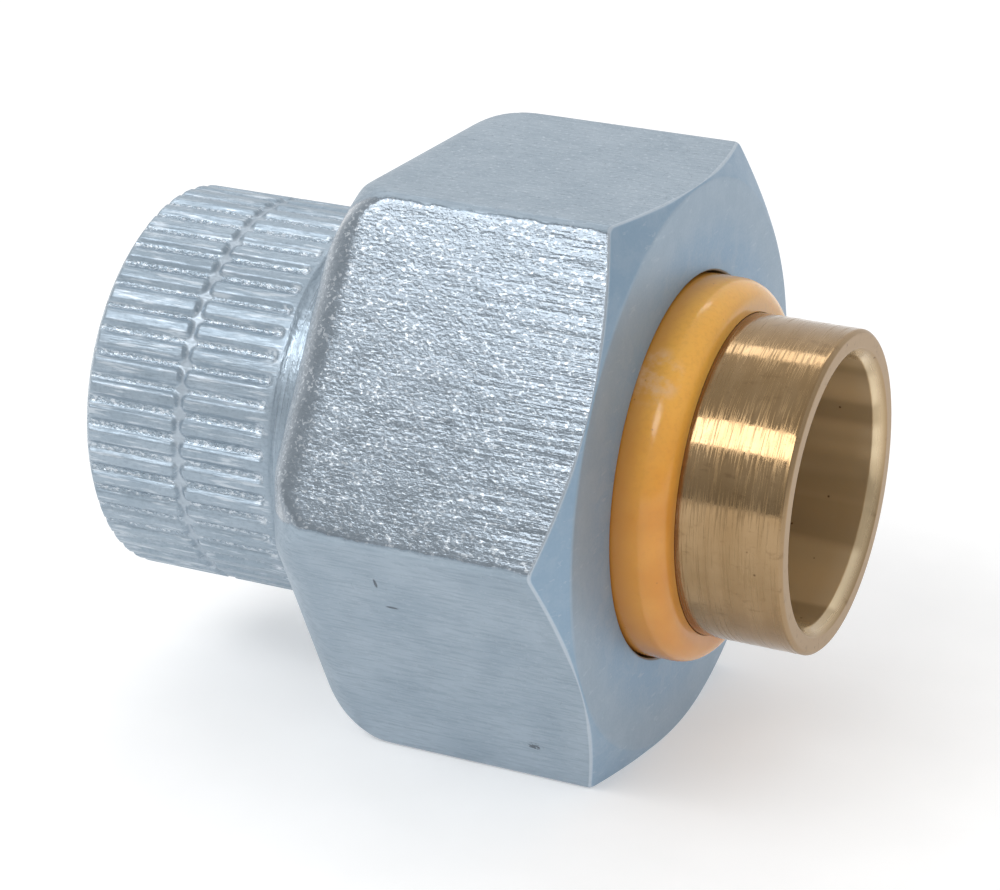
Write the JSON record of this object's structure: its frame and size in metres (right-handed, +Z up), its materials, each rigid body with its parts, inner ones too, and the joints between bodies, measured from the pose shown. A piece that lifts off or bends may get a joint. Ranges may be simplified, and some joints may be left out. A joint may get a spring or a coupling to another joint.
{
  "type": "pipe union",
  "caption": "Dielectric pipe union: knurled steel body with a female pipe thread, hexagon union nut, insulating sleeve and a brass tailpiece with a solder cup.",
  "frame": {"origin": "centre of the bounding box, which is on the pipe axis, 11.5 mm from the solder cup's stop towards the threaded end", "axes": "+X along the pipe axis towards the brass solder end; +Z up, with a flat of the nut facing down (-Z)"},
  "size_m": [0.061, 0.0554, 0.048],
  "materials": {
    "zinc_plated_body": "bright zinc plate on a turned and knurled surface",
    "zinc_plated_nut": "bright zinc plate on forged flats and a turned face",
    "brass_tail": "turned, slightly dulled",
    "orange_nylon": "moulded, semi-gloss",
    "black_rubber": "matte"
  },
  "bodies": {
    "steel_end": {"threaded_body": "zinc_plated_body", "gasket": "black_rubber"},
    "sleeve": {"insulating_sleeve": "orange_nylon"},
    "nut": {"union_nut": "zinc_plated_nut"},
    "tail": {"solder_tailpiece": "brass_tail"}
  },
  "joints": [
    {"name": "union_opening", "type": "slide", "parent": "steel_end", "child": "sleeve", "axis": [1, 0, 0], "range_m": [0, 0.01482]},
    {"name": "nut_turn", "type": "hinge", "parent": "sleeve", "child": "nut", "pos_m": [0.004, 0, 0], "axis": [1, 0, 0], "range_deg": [0, 2520]},
    {"name": "tail_swivel", "type": "hinge", "parent": "sleeve", "child": "tail", "pos_m": [0.02, 0, 0], "axis": [1, 0, 0], "continuous": true}
  ],
  "couplings": [
    {"joint": "union_opening", "follows": "nut_turn", "m_per_rad": 0.00033688}
  ]
}
